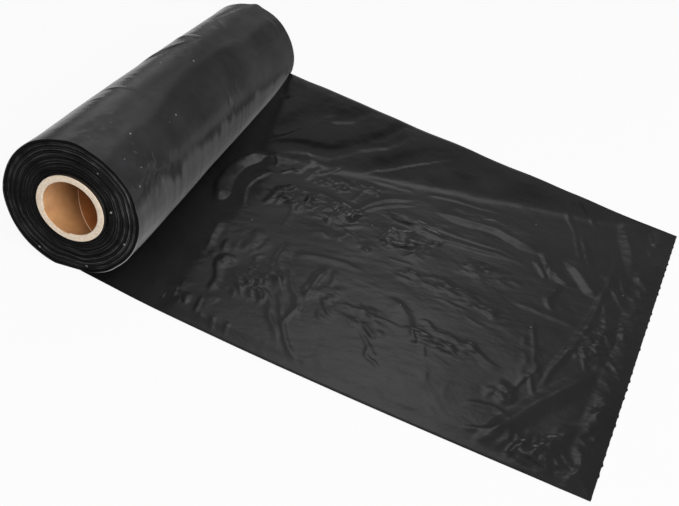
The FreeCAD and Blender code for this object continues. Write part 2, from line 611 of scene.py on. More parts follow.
def hoop_gap(angle, degrees):
    """Distance in millimetres round the skin from a place given in degrees."""
    return np.angle(np.exp(1j * (angle - math.radians(degrees)))) * roll_radius / MM


def outer_relief(angle, along):
    """How far the outer skin stands proud of a plain cylinder, in metres."""
    hoop = angle / (2 * math.pi)
    y = along * half_width / MM
    wander = 4.0 * layered_noise(hoop * 6, y / 30, 5)
    streaks = layered_noise(hoop * 5 + 3, (y + wander) / 3.2, 11, 3)
    streak_share = 0.25 + 0.75 * smooth_step(0.0, 0.7, layered_noise(hoop * 4, y / 34, 17))
    dents = layered_noise(hoop * 9, y / 26, 23, 2)
    slack = layered_noise(hoop * 4 + 9, y / 60, 29, 2)
    handled = smooth_step(-55, -88, y) * smooth_step(14, 8, np.abs(hoop_gap(angle, 48)) / 2)
    handled = handled * (1 - 0.7 * smooth_step(-96, -101, y))
    knocks = layered_noise(hoop * 26, y / 8.5, 37, 3)
    relief = 0.06 * streaks * streak_share + 0.30 * dents + 0.45 * slack + 1.3 * handled * knocks
    rim_wave = soft_noise(hoop * 17, np.full_like(hoop, 3.3), 59)
    relief = relief + 0.4 * rim_wave * smooth_step(0.86, 1.0, np.abs(along))
    for degrees, place, half_turn, half_length, height in SWELLINGS:
        turn = hoop_gap(angle, degrees) / (math.radians(half_turn) * roll_radius / MM)
        relief = relief + height * np.exp(-(turn**2) - ((y - place) / half_length) ** 2)
    for degrees, place, width, length, slant, height in CREASES:
        turn = hoop_gap(angle, degrees)
        step = y - place
        across = step * math.cos(slant) - turn * math.sin(slant)
        forward = step * math.sin(slant) + turn * math.cos(slant)
        relief = relief + height * np.exp(-((across / width) ** 2) - (forward / length) ** 4)
    return relief * MM


# %% Soft shape of the winding
RING_TURNS = 26


def shape_winding(points):
    """Move every vertex of the plain body to its place on the soft one."""
    angle = np.arctan2(points[:, 2] - axis_height, points[:, 0])
    radius = np.hypot(points[:, 0], points[:, 2] - axis_height)
    depth = np.clip((radius - core_radius) / (roll_radius - core_radius), 0.0, 1.0)
    along = points[:, 1] / half_width
    outer, centre = roll_outline(along)
    outer = outer + outer_relief(angle, along)
    skin_x, skin_z = outer * np.cos(angle), np.maximum(centre + outer * np.sin(angle), 0.0)
    core_x = core_radius * np.cos(angle)
    core_z = axis_height + core_radius * np.sin(angle)
    moved = points.copy()
    moved[:, 0] = core_x + (skin_x - core_x) * depth
    moved[:, 2] = core_z + (skin_z - core_z) * depth
    edge = smooth_step(0.985, 1.0, np.abs(along))
    turn = angle / (2 * math.pi)
    layer = depth * RING_TURNS + 0.9 * layered_noise(turn * 7, depth * 3, 41)
    rings = soft_noise(layer, turn * 9, 43) + 0.6 * soft_noise(layer * 2.3, turn * 14, 47)
    sunk = 0.45 + 0.32 * rings + 0.5 * smooth_step(0.16, 0.0, depth)
    rim = smooth_step(0.97, 1.0, depth)
    sunk = sunk * (1 - 0.7 * rim) * smooth_step(0.0, 0.02, depth + 0.02)
    moved[:, 1] -= np.sign(along) * edge * sunk * MM
    return moved, angle, depth


# %% [markdown]
# The skin is not one black. Low on its right flank a pale band is painted in as a painted
# reflection, its crown is painted a touch paler too as a painted highlight, there are pale patches
# higher up, and the far part of the flank is duller. These are painted: numbers at the vertices,
# which the film's finish reads.

# %% Painted light on the skin
# Where the band of painted reflection ends: mm along the roll, degrees round its axis.
PAINTED_BAND_TOP = [
    (-101, 19), (-84, 18), (-73, 20), (-67, 10), (-60, 8), (-56, 16), (-50, 20), (-42, 18), (-34, 13),
    (-20, 12), (-13, 8), (-10, 17), (-5, 16), (0, 8), (4, 16), (8, 9), (22, 9), (33, 6), (38, 11),
    (46, 8), (60, 2), (80, 0), (101, -14),
]

# Where the painted highlight on the crown begins, in the same terms.
PAINTED_CROWN_EDGE = [(-101, 61), (-70, 63), (-40, 66), (-24, 73), (0, 75), (28, 72), (50, 64), (101, 60)]


def painted_skin_light(angle, along):
    """How much painted light the outer skin carries, 0 to 1: a painted reflection in a band on the right
    flank, a painted highlight on the crown, pale patches.
    """
    degrees = np.degrees(angle)
    y = along * half_width / MM
    feather = layered_noise(degrees / 50, y / 2.6, 97, 3)
    top = np.interp(y, *np.transpose(PAINTED_BAND_TOP)) + 2.8 * feather
    band = smooth_step(top + 4, top - 6, degrees) * smooth_step(-75, -45, degrees)
    strength = np.interp(degrees, (-30, -20, -10, 0, 15), (1.0, 0.73, 0.33, 0.19, 0.13))
    near_end = 1 + 0.5 * smooth_step(-60, -95, y) * smooth_step(8, -4, degrees)
    mottle = layered_noise(degrees / 11, y / 9, 131, 3)
    crown_edge = np.interp(y, *np.transpose(PAINTED_CROWN_EDGE)) + 4 * mottle
    crown = 0.055 * smooth_step(crown_edge - 5, crown_edge + 3, degrees)
    crown = crown * smooth_step(118, 98, degrees) * (1 + 0.35 * mottle)
    pale_patches = 0.02 * np.maximum(mottle, 0) * smooth_step(0, 30, degrees)
    return np.clip(band * strength * near_end * (1 + 0.25 * feather) + crown + pale_patches, 0, 1)


def read_places(piece):
    """The places of a piece's vertices, one row each."""
    places = np.zeros(len(piece.data.vertices) * 3)
    piece.data.vertices.foreach_get("co", places)
    return places.reshape(-1, 3)


# %% Move the plain body to its soft shape
shaped, angles, depths = shape_winding(read_places(wound_bags))
wound_bags.data.vertices.foreach_set("co", shaped.ravel())
print("winding shaped, highest point", round(shaped[:, 2].max() / MM, 1), "mm")

# %% Coordinates that follow the film
def read_corners(piece):
    """Which vertex each face corner stands on."""
    corners = np.zeros(len(piece.data.loops), dtype=np.int64)
    piece.data.loops.foreach_get("vertex_index", corners)
    return corners


def carry(piece, name, values):
    """Give each vertex of a piece a number that its material can read."""
    carried = piece.data.attributes.new(name, "FLOAT", "POINT")
    carried.data.foreach_set("value", values)


winding_uv = wound_bags.data.uv_layers.new(name="film_run")
corner_vertex = read_corners(wound_bags)
from_table = (angles + math.pi / 2) % (2 * math.pi)
corner_turn = from_table[corner_vertex].reshape(-1, 4)
over_the_join = corner_turn.max(axis=1, keepdims=True) - corner_turn > math.pi
corner_turn = corner_turn + 2 * math.pi * over_the_join
run = np.stack([corner_turn.ravel() * roll_radius, shaped[corner_vertex, 1]], axis=1)
winding_uv.data.foreach_set("uv", run.ravel())
skin_y = shaped[:, 1]
# The skin's painted light: a painted reflection low on the right flank, a painted highlight on the crown,
# and pale patches.
painted_light_share = painted_skin_light(angles, skin_y / half_width) * smooth_step(0.9, 1.0, depths)
dull_share = smooth_step(-10, 70, skin_y / MM) * smooth_step(48, 28, np.degrees(angles))
carry(wound_bags, "wind_depth", depths)
carry(wound_bags, "painted_light_on_skin", painted_light_share)
carry(wound_bags, "dull_skin", dull_share)
bpy.ops.object.shade_smooth_by_angle(angle=math.radians(50))
print("film coordinates up to", round(run[:, 0].max() / MM, 1), "mm round the roll")

# %% Finish of the wound film
# Each: degrees round the axis, mm along it, half size mm.
SKIN_FLECKS = [
    (62, -75.5, 0.45), (50, -42.5, 0.45), (77, 5.5, 0.5), (77.7, 6.2, 0.4), (99, -7, 0.45),
    (50.5, -91, 0.25), (79, -76, 0.25), (28.5, -94, 0.4), (38, -86.5, 0.25), (49, -50, 0.2),
    (96, 5, 0.2),
]
# On the roll's back: the next perforation, then the next bottom seal with its pressed middle.
BAG_MARKS = [(150.9, 0.3, 6.0, 0.16), (137.8, 1.2, 0.0, 0.06), (137.8, 0.9, 1.6, 0.035)]
skin_specks = [
    (math.radians(90 + degrees) * roll_radius / MM, y, half_size)
    for degrees, y, half_size in SKIN_FLECKS
]
wound_bags.data.materials.clear()
wound_bags.data.materials.append(
    film_material(
        "wound_film",
        crinkle=0.00010,
        grain=(110, 260, 1),
        sheen=0.03,
        gloss=0.06,
        satin=(0.17, 0.26),
        tones=[(0.019, 0.019, 0.020), (0.038, 0.037, 0.039)],
        flecks=skin_specks,
        # Painted light on the skin, read from its attribute.
        painted_light="painted_light_on_skin",
        dull="dull_skin",
        marks=BAG_MARKS,
    )
)
print("wound film finished")

# %% [markdown]
# The ends of the roll are hundreds of cut edges standing side by side. They drink the light, so
# the ends are far blacker than the skin, with only a few thin rings where a turn stands proud. The
# rings' relief is a bump; their pale colour is a painted glint, brighter towards the right.

# %% Finish of the cut edges
# Where the painted glint on the rings is brightest, and how far it reaches.
GLINT_PLACE, GLINT_REACH = (0.026, -0.1015, 0.036), 0.030
# The black of the cut edges, and the pale grey of their painted glint.
EDGE_BLACK, EDGE_LIT = (0.0035, 0.0035, 0.0035), (0.19, 0.19, 0.19)
END_DUST = (0.26, 0.255, 0.25)
END_FLECK_SIZE = 0.68
# The specks on the near end, each: mm across the roll, mm above the table.
END_FLECKS = [(19.3, 35.6), (-17.1, 6.4), (25.1, 20.9), (27.7, 32.4), (6.0, 3.1), (13.8, 53.2)]


def cut_edges_material():
    """Near black, with thin broken rings whose pale colour is a painted glint, brighter towards the
    right.
    """
    material, tree, shader = new_material("cut_edges")
    edge_depth = attribute(tree, "wind_depth")
    place = add(tree, "ShaderNodeTexCoord").outputs["Object"]
    wobble = math_node(tree, "MULTIPLY", noise(tree, place, 70.0, 3.0, 0.55), 2.6)
    rings_at = math_node(tree, "ADD", math_node(tree, "MULTIPLY", edge_depth, 30.0), wobble)
    ring_vector = add(tree, "ShaderNodeCombineXYZ")
    tree.links.new(rings_at, ring_vector.inputs[0])
    ring_noise = noise(tree, ring_vector.outputs[0], 1.0, 3.0, 0.62)
    thin = ramp(tree, ring_noise, [(0.50, 0.0), (0.61, 1.0)])
    broken = ramp(tree, noise(tree, place, 90.0, 4.0, 0.7), [(0.38, 0.15), (0.62, 1.0)])
    # The painted glint is weaker near the core, gone at the outer rim and strongest near its place.
    outer_part = ramp(tree, edge_depth, [(0.18, 0.3), (0.50, 0.9), (0.87, 1.0), (0.91, 0.0)])
    glint_gap = math_node(tree, "DIVIDE", gap_to(tree, place, GLINT_PLACE), GLINT_REACH)
    lit_ring = math_node(tree, "MULTIPLY", thin, broken)
    for share in (outer_part, ramp(tree, glint_gap, [(0.2, 1.0), (0.9, 0.5)])):
        lit_ring = math_node(tree, "MULTIPLY", lit_ring, share)
    specks = [((x * MM, -half_width, z * MM), END_FLECK_SIZE * MM) for x, z in END_FLECKS]
    colour = mixed(tree, lit_ring, EDGE_BLACK, EDGE_LIT)
    colour = mixed(tree, dust_at(tree, place, specks), colour, END_DUST)
    tree.links.new(colour, shader.inputs["Base Color"])
    tree.links.new(bumped(tree, ring_noise, 0.0006), shader.inputs["Normal"])
    shader.inputs["Roughness"].default_value = 0.5
    shader.inputs["Specular IOR Level"].default_value = 0.04
    return material


wound_bags.data.materials.append(cut_edges_material())
print("cut edges material has", len(wound_bags.data.materials[1].node_tree.nodes), "nodes")

# %% Which faces are cut edges
END_FROM, RIM_DEPTH = 0.97, 0.985
faces = wound_bags.data.polygons
centres = np.zeros(len(faces) * 3)
faces.foreach_get("center", centres)
corner_start = np.zeros(len(faces), dtype=np.int64)
faces.foreach_get("loop_start", corner_start)
face_depth = depths[corner_vertex[corner_start]]
near_an_end = np.abs(centres.reshape(-1, 3)[:, 1]) > END_FROM * half_width
is_end = near_an_end & (face_depth < RIM_DEPTH)
faces.foreach_set("material_index", is_end.astype(np.int32))
print("cut edges on", int(is_end.sum()), "faces")

# %% [markdown]
# ## The drawn-out bag
# A flat grid is the right start for film on a table: one vertex every 0.7 mm can carry a real
# crease. The grid is stretched from the line where the film leaves the roll to the torn end.
# The film is drawn off askew, so its far side still clings to the roll and comes down in a slope.

# %% A grid from the roll to the torn end
LENGTH_CUTS, WIDTH_CUTS = 350, 280
bpy.ops.object.select_all(action="DESELECT")
bpy.ops.mesh.primitive_grid_add(x_subdivisions=LENGTH_CUTS, y_subdivisions=WIDTH_CUTS, size=2.0)
drawn_out_bag = bpy.context.object
drawn_out_bag.name = "drawn_out_bag"
drawn_out_bag.data.name = "drawn_out_bag"
grid = read_places(drawn_out_bag)
length_share, width_share = (grid[:, 0] + 1) / 2, grid[:, 1]
cosine, sine = math.cos(draw_off_angle), math.sin(draw_off_angle)
LEAVE_X, TORN_GAP = 3 * MM, 0.1 * MM
start_run = LEAVE_X * cosine - width_share * half_width * sine
start_across = LEAVE_X * sine + width_share * half_width * cosine
run = start_run + (free_length - TORN_GAP - start_run) * length_share
across = start_across + (width_share * half_width - start_across) * length_share
near_bow = MM * smooth_step(0.4, 1.0, -width_share) * (
    2.8 * np.sin(math.pi * length_share**0.8)
    + 1.7 * length_share
    + 0.7 * smooth_step(0.02, 0.2, length_share)
)
across = across - near_bow
run_mm, across_mm = run / MM, across / MM
width_mm, length_mm = half_width / MM, free_length / MM
print("grid", len(grid), "vertices")


# %% [markdown]
# Thin film does not drape in round waves. It stays almost flat and kinks: each fold has a narrow
# straight face and, over the crest, a long easy back. On black film the face is all that shows,
# because it mirrors another part of the room. So a fold is laid as a route in millimetres (along
# the film, across it from its middle) with the face on the right-hand side of travel: how wide the
# face is, how steep it is, and how long the back runs out.

# %% Fold helper
def smooth_route(route, steps=6):
    """Points on a soft curve through the given ones."""
    route = np.array(route, float)
    padded = np.vstack([2 * route[0] - route[1], route, 2 * route[-1] - route[-2]])
    pieces = []
    for index in range(1, len(padded) - 2):
        before, start, end, after = padded[index - 1 : index + 3]
        share = np.linspace(0, 1, steps, endpoint=False)[:, None]
        pieces.append(
            0.5
            * (
                2 * start
                + (end - before) * share
                + (2 * before - 5 * start + 4 * end - after) * share**2
                + (3 * start - before - 3 * end + after) * share**3
            )
        )
    return np.vstack([*pieces, route[-1:]])


def lay_fold(height_map, along, over, face, slope, back, route, fade=0.25):
    """Add one fold to the height map, in millimetres; fade is the share of the route at each end
    over which the fold dies out."""
    curve = smooth_route(route)
    back_reach = 2.2 * back
    reach = 1.3 * max(face, back_reach)
    low, high = curve.min(axis=0) - reach, curve.max(axis=0) + reach
    inside = (along > low[0]) & (along < high[0]) & (over > low[1]) & (over < high[1])
    x, y = along[inside], over[inside]
    nearest = np.full(x.shape, 1e9)
    side = np.zeros(x.shape)
    place = np.zeros(x.shape)
    for index in range(len(curve) - 1):
        start, step = curve[index], curve[index + 1] - curve[index]
        length = math.hypot(*step)
        dx, dy = x - start[0], y - start[1]
        share = np.clip((dx * step[0] + dy * step[1]) / length**2, 0, 1)
        gap = np.hypot(dx - share * step[0], dy - share * step[1])
        closer = gap < nearest
        nearest = np.where(closer, gap, nearest)
        side = np.where(closer, np.sign(dx * step[1] - dy * step[0]), side)
        place = np.where(closer, (index + share) / (len(curve) - 1), place)
    ends = smooth_step(0, fade, place) * smooth_step(0, fade, 1 - place)
    face_here = face * (0.35 + 0.65 * ends)
    on_face = np.clip(1 - nearest / face_here, 0, 1)
    on_back = 1 - smooth_step(0, back_reach, nearest)
    height_map[inside] += slope * face * ends * np.where(side > 0, on_face, on_back)


# %% [markdown]
# The long folds fan out from the roll as tension left them, round one big arc where the film
# slipped. Each row below reads: face width, steepness, back, route. A negative steepness makes a
# valley, whose face rises away from the route.

# %% Folds by the roll and along the middle
ROLL_FOLDS = [
    (2.2, -0.15, 6, [(17, 44), (24.5, 53), (31, 57.5), (36, 63.5), (40, 71.5), (46, 80.5), (55.5, 89)]),
    (2.2, -0.1, 5, [(51.5, 78.5), (57, 83), (62.5, 87), (66, 92), (70.5, 99)]),
    (2.0, -0.1, 5, [(16, 80), (23.5, 87), (27.5, 96.5)]),
    (1.7, -0.19, 5, [(64, 55.5), (69.5, 60.5), (75.5, 68), (82, 74), (89.5, 79.5), (94, 86), (98, 93)]),
    (1.8, -0.12, 3, [(78, 77), (85, 83), (87.5, 88.5), (90, 94.5), (94, 100.5)]),
    (1.6, -0.19, 5, [
        (84.5, 50.5), (90, 60), (96.5, 65), (103.5, 72), (110.5, 78.5), (117, 83.5), (128, 90.5),
    ]),
    (1.5, 0.25, 3, [(66, 38), (69.5, 43), (72.5, 47.5), (76, 54)]),
    (2.0, 0.1, 3, [(70.5, 30), (67, 35.5), (65.5, 40.5)]),
    (8.0, 0.16, 2, [(37.5, -18), (34, -11), (28.5, 0), (25.5, 13), (25.5, 27), (29, 37), (34, 44)]),
    (3.6, -0.11, 3, [(26, 35), (30, 42.5), (37, 49), (45, 53.5), (54, 56)]),
    (3.0, -0.10, 3, [(42, 51.5), (50, 55), (58, 57.5), (66, 60), (76, 66)]),
    (2.5, -0.07, 3, [(51, 53.5), (60.5, 55), (69.5, 57.5)]),
    (2.4, 0.11, 3, [(52, -13), (46, -4.5), (42, 4), (41.5, 12.5), (43, 22), (46, 28)]),
    (1.3, 0.21, 2, [(48.5, 27), (53, 33.5), (57.5, 38.5)]),
    (1.3, 0.13, 2, [(37.5, 42.5), (41, 38.5), (43.5, 32)]),
    (4.0, 0.09, 3, [(55, 32), (57, 41), (60, 50)]),
    (3.5, 0.09, 3, [(64, 29), (63.5, 38), (65, 49)]),
    (2.2, 0.07, 4, [(90, 50.5), (100, 52.5), (111.5, 54), (119.5, 56)]),
    (2.2, 0.08, 4, [(122.5, 53.5), (130, 59), (140.5, 61.5), (154, 62.5), (168.5, 64.5)]),
]
MIDDLE_FOLDS = [
    (1.5, 0.19, 5, [
        (54.5, 16), (60.5, 18.5), (68.5, 19.5), (77.5, 22), (86, 21), (93.5, 18), (100.5, 15),
    ]),
    (3.0, 0.12, 2, [(57.5, -5), (58, 3.5), (57, 12.5), (58.5, 18.5)]),
    (2.2, 0.16, 5, [(99, 5.5), (99.5, 15), (102, 26), (106.5, 36), (114.5, 43), (124.5, 49.5)]),
    (2.6, 0.14, 2, [(102, 7.5), (102.5, 17), (105, 25.5), (111, 33), (117.5, 39), (124.5, 43.5)]),
    (5.5, 0.12, 9, [
        (133, 44), (142.5, 44.5), (153.5, 45.5), (166, 47), (176, 45), (187.5, 41), (196.5, 38.5),
    ]),
    (2.0, 0.19, 3, [(191.5, 41), (195.5, 38.5), (198.5, 33), (201, 27), (206, 20.5)]),
    (2.0, 0.17, 3, [(191.5, 33), (195.5, 28.5), (199, 24), (202, 19.5)]),
    (1.4, 0.19, 3, [(107, 28), (119.5, 28), (137.5, 28.5), (156, 28.5), (172.5, 29.5), (189.5, 28.5)]),
    (3.4, 0.1, 3, [
        (107, 27), (117.5, 25), (130, 23.5), (144, 21.5), (160.5, 23.5), (174.5, 25), (190.5, 26.5),
    ]),
    (1.3, 0.19, 4, [(148, 24.5), (138, 25.5), (125.5, 26.5), (111, 26)]),
    (1.3, 0.19, 5, [(136, 22), (130, 17.5), (125, 14.5), (121.5, 9.5), (119.5, 0)]),
    (1.8, 0.19, 4, [(208, 23.5), (208, 17), (207, 10.5), (206, 6), (208, 0.5), (212, -3.5)]),
    (3.0, 0.12, 3, [(197.5, 31.5), (204, 28), (209, 23.5), (217, 21)]),
    (1.4, 0.15, 2, [(94, 25), (94, 34), (95.5, 44)]),
    (1.5, 0.13, 3, [(118.5, -1), (108.5, -1), (98.5, 0.5), (90, 3)]),
    (1.2, 0.13, 3, [(164, -10.5), (159, -9.5), (154, -11.5), (148, -12.5)]),
    (1.2, 0.19, 4, [
        (182.5, -16), (176.5, -14.5), (169, -12.5), (165.5, -15), (157.5, -16.5), (147.5, -17.5),
    ]),
    (1.1, 0.15, 2, [(183.5, -22.5), (178.5, -20), (173.5, -20)]),
    (1.1, 0.13, 2, [(179.5, -25.5), (172.5, -25.5), (166.5, -24.5), (159.5, -25.5)]),
    (1.2, 0.12, 2, [(188.5, -31.5), (183.5, -31.5), (177.5, -29.5)]),
    (1.3, 0.13, 2, [(196.5, -19.5), (191.5, -22.5), (186.5, -25.5)]),
    (1.1, 0.13, 2, [(144.5, -16.5), (138.5, -15.5)]),
    (1.1, 0.13, 2, [(144, -8), (137, -8.5), (129, -9)]),
    (2.6, 0.08, 4, [(127.5, -26.5), (114.5, -25.5), (103.5, -27.5), (96, -30.5), (91, -33.5)]),
    (3.4, 0.07, 5, [(166.5, -60.5), (161.5, -53.5), (156.5, -46.5), (150.5, -40.5), (142.5, -35.5)]),
    (1.3, 0.19, 2, [(166.5, -60.5), (163.5, -56.5), (160.5, -51.5)]),
    (1.1, 0.13, 2, [(172.5, -67.5), (170.5, -62.5), (168.5, -57.5)]),
    (2.0, 0.12, 4, [(205.5, -54.5), (198.5, -54), (191.5, -50.5), (186.5, -47.5), (180.5, -48.5)]),
    (1.4, 0.15, 3, [(183.5, -49.5), (175.5, -46.5), (169.5, -46.5), (164.5, -43.5), (159.5, -45.5)]),
    (1.2, 0.12, 2, [(189.5, -59.5), (181.5, -57.5), (172.5, -55.5), (162.5, -52.5)]),
]

# %% Upright folds and the two corners
UPRIGHT_FOLDS = [
    (3.0, 0.1, 4, [(83.5, -23), (85, -31.5), (86, -39.5), (89, -47.5), (94, -56.5), (100, -65.5)]),
    (1.4, 0.16, 3, [(107, -67.5), (102, -62.5), (97, -56.5), (92, -49.5), (87, -42.5)]),
    (1.5, 0.16, 4, [
        (117, -75.5), (113, -69.5), (109, -61.5), (103, -55.5), (98, -47.5), (92, -39.5), (89, -29.5),
    ]),
    (1.4, 0.16, 3, [(120, -96.5), (112, -86.5), (105, -79.5), (100, -70.5), (94, -64.5), (86, -55.5)]),
    (1.2, 0.16, 2, [(111, -80.5), (107, -73.5), (103, -67.5), (99, -63.5)]),
    (1.6, 0.16, 3, [
        (133, -102.5), (124, -94.5), (119, -89.5), (115, -84.5), (112, -79.5), (112, -71.5), (113, -62.5),
    ]),
    (2.6, 0.16, 4, [(113, -62.5), (111, -55.5), (110, -47.5), (110, -40.5), (111, -33.5)]),
    (1.6, 0.12, 3, [(117, -47.5), (117, -40.5), (114, -32.5)]),
    (1.3, 0.16, 2, [(129, -65.5), (125, -63), (121, -58.5), (116, -52.5)]),
    (1.2, 0.16, 2, [(138.5, -52.5), (133.5, -53.5), (127, -52.5)]),
    (1.2, 0.16, 2, [(157.5, -54.5), (149.5, -53.5), (142.5, -54), (138.5, -52.5), (133.5, -47.5)]),
    (1.2, 0.16, 2, [(139.5, -67), (135.5, -63.5), (130, -59.5)]),
    (1.2, 0.16, 2, [(150.5, -69.5), (145.5, -64.5), (139.5, -59.5)]),
    (1.4, 0.16, 2, [
        (161.5, -85.5), (156.5, -81.5), (151.5, -79), (149.5, -73.5), (144.5, -68.5), (138.5, -62.5),
    ]),
    (1.1, 0.15, 2, [(155.5, -78.5), (152.5, -75.5), (149.5, -71.5)]),
    (2.8, 0.12, 4, [(46, -27.5), (49.5, -37), (51.5, -44.5), (55, -52.5)]),
    (1.8, 0.1, 3, [(59, -41), (61, -46.5), (63, -51.5)]),
    (3.4, 0.07, 4, [(66, -24), (69, -33.5), (70, -45.5)]),
    (2.2, 0.08, 4, [(75, -27.5), (76, -35.5), (75, -45.5)]),
    (1.6, 0.13, 3, [(80, -40.5), (78, -45.5), (80, -50.5)]),
    (2.6, 0.13, 4, [(63, -56.5), (68, -64.5), (72, -72.5), (74, -81.5)]),
    (1.2, 0.15, 2, [(88, -75.5), (82, -67.5), (75, -58.5)]),
    (1.2, 0.15, 2, [(94, -75.5), (86, -65.5), (79, -56.5)]),
    (1.2, 0.13, 2, [(97, -72.5), (91, -65.5), (84, -55.5)]),
    (1.5, 0.1, 2, [(44.5, -78.5), (49.5, -86.5), (54, -94.5)]),
    (1.5, 0.12, 2, [(60, -83.5), (61, -87.5), (63, -91.5)]),
    (1.4, 0.12, 2, [(66, -85.5), (68, -90.5), (71, -94.5)]),
    (1.4, 0.15, 2, [(78, -97.5), (76, -90.5), (73, -83.5)]),
    (1.4, 0.15, 2, [(90, -102.5), (87, -97.5), (85, -92.5)]),
    (1.3, 0.12, 2, [(97, -102.5), (94, -97.5), (92, -92.5)]),
    (1.8, 0.08, 4, [(68.5, 9.5), (72.5, -2.5), (75.5, -18.5)]),
]
END_FOLDS = [
    (1.5, 0.15, 3, [
        (189.5, 96.5), (193.5, 90), (198, 80.5), (203.5, 71.5), (207.5, 60), (211.5, 49.5), (217, 39.5),
    ]),
    (1.8, 0.15, 3, [(205.5, 74.5), (210.5, 63.5), (216, 48.5), (222, 36), (228, 23)]),
    (1.5, 0.15, 3, [(196.5, 101), (201.5, 96), (206.5, 91), (213.5, 79.5)]),
    (6.0, 0.105, 6, [(223, 98), (228, 86.5), (233, 73), (238, 59), (242, 49), (245, 40.5)]),
    (2.0, 0.15, 3, [(233, 46.5), (237, 36.5), (240, 31), (245, 27.5)]),
    (5.0, 0.105, 6, [(204.5, 42.5), (212, 37.5), (218, 31), (223, 24), (229, 17.5)]),
    (1.8, 0.15, 3, [(231, 19.5), (233, 12), (236, -1)]),
    (2.6, 0.15, 3, [(229, 33.5), (234, 29), (239, 21.5), (244, 13)]),
    (1.6, 0.15, 3, [(239, 9.5), (242, 3.5), (245, -8)]),
    (1.5, 0.15, 2, [(239, 96), (241, 90), (245, 82.5)]),
    (1.4, 0.15, 2, [(240, 84.5), (242, 78), (244, 71.5)]),
    (2.5, 0.12, 4, [(191, -7), (200, -6.5), (209, -7.5), (218, -7), (226, -8)]),
    (2.8, 0.13, 3, [
        (226, 73), (229.3, 48), (229.3, 19), (228, -1), (225.3, -23.6), (221.5, -43), (220, -64),
    ]),
    (1.3, 0.15, 2, [(207.5, -70.5), (210.5, -64.5), (212.5, -56.5), (215.5, -48.5), (217, -38.5)]),
    (1.5, 0.15, 2, [(213.5, -49.5), (216.5, -56.5), (219.5, -64.5)]),
    (1.2, 0.1, 2, [(205, -13), (208, -23.5), (211.5, -35.5), (214.5, -46.5)]),
    (5.0, 0.115, 5, [
        (247, -18), (236, -39), (228.5, -53), (221.3, -66), (215, -80), (209.5, -94), (205, -106),
    ]),
    (2.4, 0.1, 3, [(216.5, -81.5), (208.5, -77.5), (200.5, -79.5), (193.5, -83.5)]),
    (1.8, 0.12, 3, [(215.5, -83.5), (210.5, -89.5), (204.5, -92.5), (198.5, -95.5)]),
    (2.2, 0.15, 3, [(245, -42.5), (244, -49.5), (245, -56.5), (242, -61.5)]),
    (3.4, 0.12, 4, [(246, -42), (245.8, -55), (239.5, -72), (231.2, -86.5), (224, -97), (220, -104)]),
    (1.8, 0.12, 3, [(246, -45.5), (248, -54.5), (250, -63.5)]),
    (2.2, 0.15, 4, [(226.5, -94.5), (231.5, -89.5), (236, -85.5), (242, -82.5), (247, -85.5)]),
    (2.2, 0.15, 3, [(244, -83.5), (245, -91.5), (244, -97.5), (242, -103.5)]),
    (1.8, 0.15, 3, [(219.5, -84.5), (220.5, -93.5), (218.5, -102.5)]),
    (1.5, 0.15, 2, [(221.5, -87.5), (223.5, -95.5), (226.5, -102.5)]),
    (1.8, 0.15, 2, [(226.5, -81.5), (227.5, -90.5), (228.5, -98.5)]),
    (1.4, 0.15, 2, [(232.5, -90.5), (234.5, -96.5), (235.5, -102.5)]),
    (1.4, 0.15, 2, [(237, -89.5), (239, -96.5)]),
    (1.6, 0.15, 2, [(241, -19.5), (244, -24.5), (247, -28.5)]),
    (1.4, 0.15, 2, [(232, -25.5), (233, -30.5), (235, -35.5)]),
]

# %% Laying the long folds
WIDE_FACE = 3
warp_run = run_mm + 0.55 * layered_noise(run_mm / 7, across_mm / 7, 61, 2)
warp_across = across_mm + 0.55 * layered_noise(run_mm / 7, across_mm / 7, 67, 2)
height_map = np.zeros(len(grid))


def as_laid(face, slope, back):
    """A row's numbers as they are laid: wider valleys, narrower and steeper folds."""
    if slope < 0:
        return 1.4 * face, 2.0 * slope, back
    if face < WIDE_FACE:
        return 0.8 * face, 1.35 * slope, 0.5 * back
    return 0.9 * face, 1.6 * slope, 0.8 * back


long_folds = ROLL_FOLDS + MIDDLE_FOLDS + UPRIGHT_FOLDS + END_FOLDS
for face, slope, back, route in long_folds:
    lay_fold(height_map, warp_run, warp_across, *as_laid(face, slope, back), route)
print("long folds laid:", len(long_folds))

# %% [markdown]
# Where the film was crushed it is full of small facets: short steep folds thrown over one patch,
# all leaning much the same way. A seeded draw places them, so they fall the same way every time.

